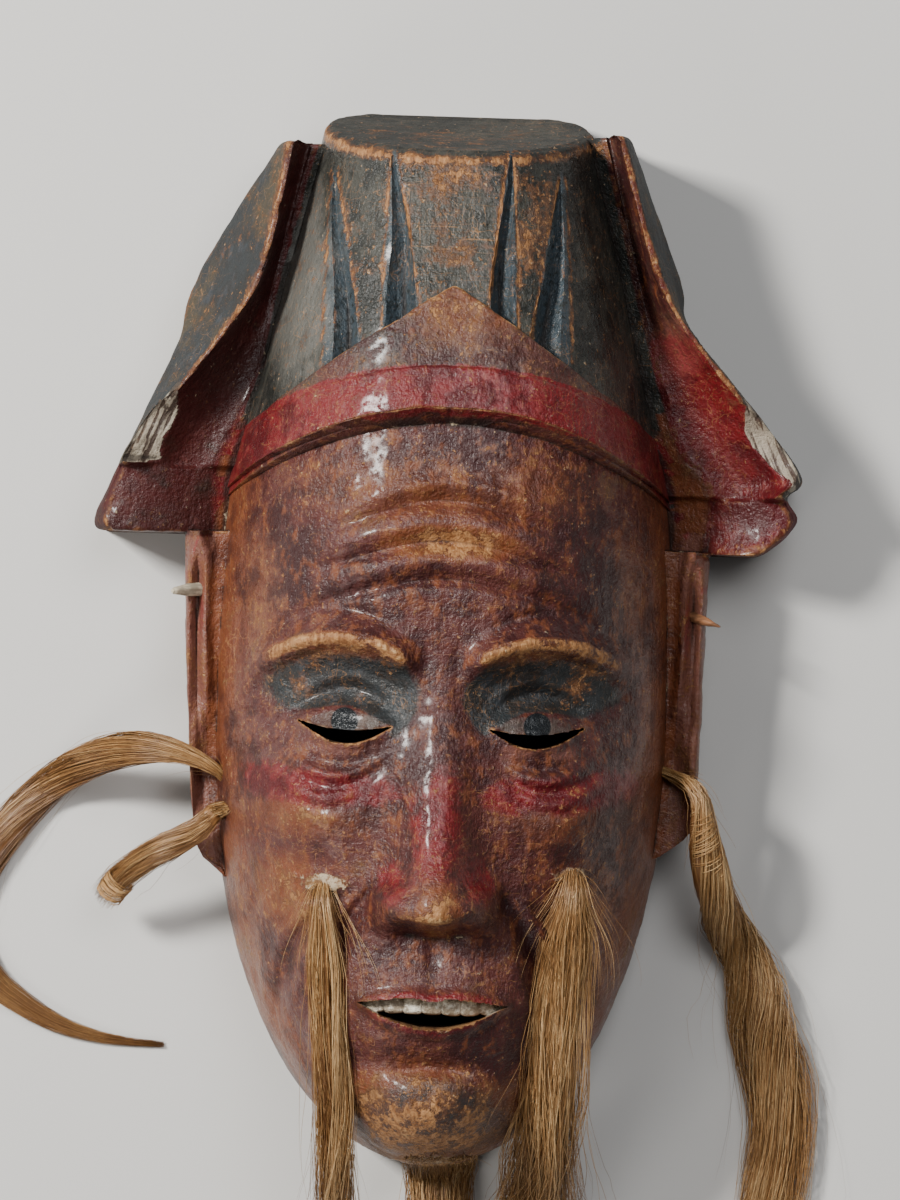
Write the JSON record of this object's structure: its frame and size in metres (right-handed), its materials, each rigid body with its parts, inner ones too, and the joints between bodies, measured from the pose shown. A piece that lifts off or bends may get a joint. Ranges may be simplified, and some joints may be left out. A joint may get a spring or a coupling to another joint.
{
  "type": "nuo mask",
  "caption": "Carved and painted wooden theatre mask of an old man in a soft cap with side flaps, hollow behind, with tufts of plant-fibre hair, lying on its flat back edge.",
  "frame": {"origin": "middle of the whole part's footprint, tufts included, on the surface the mask lies on", "axes": "+Z is the way the face looks, +Y runs from the chin to the top of the cap, and +X is the right-hand side of someone looking at the face"},
  "size_m": [0.2636, 0.4346, 0.1023],
  "materials": {
    "lacquered_wood": "aged glossy lacquer in crimson, purple-brown and green-black, worn to bare wood on the edges",
    "plant_hair": "loose golden plant fibre with a silky sheen",
    "pale_peg": "bare, dusty",
    "brown_peg": "bare, worn smooth"
  },
  "bodies": {
    "root": {"mask": "lacquered_wood", "moustache_left": "plant_hair", "moustache_right": "plant_hair", "beard": "plant_hair", "temple_curl_left": "plant_hair", "temple_stub_left": "plant_hair", "temple_tail_right": "plant_hair", "ear_peg_left": "pale_peg", "ear_peg_right": "brown_peg"}
  },
  "joints": []
}
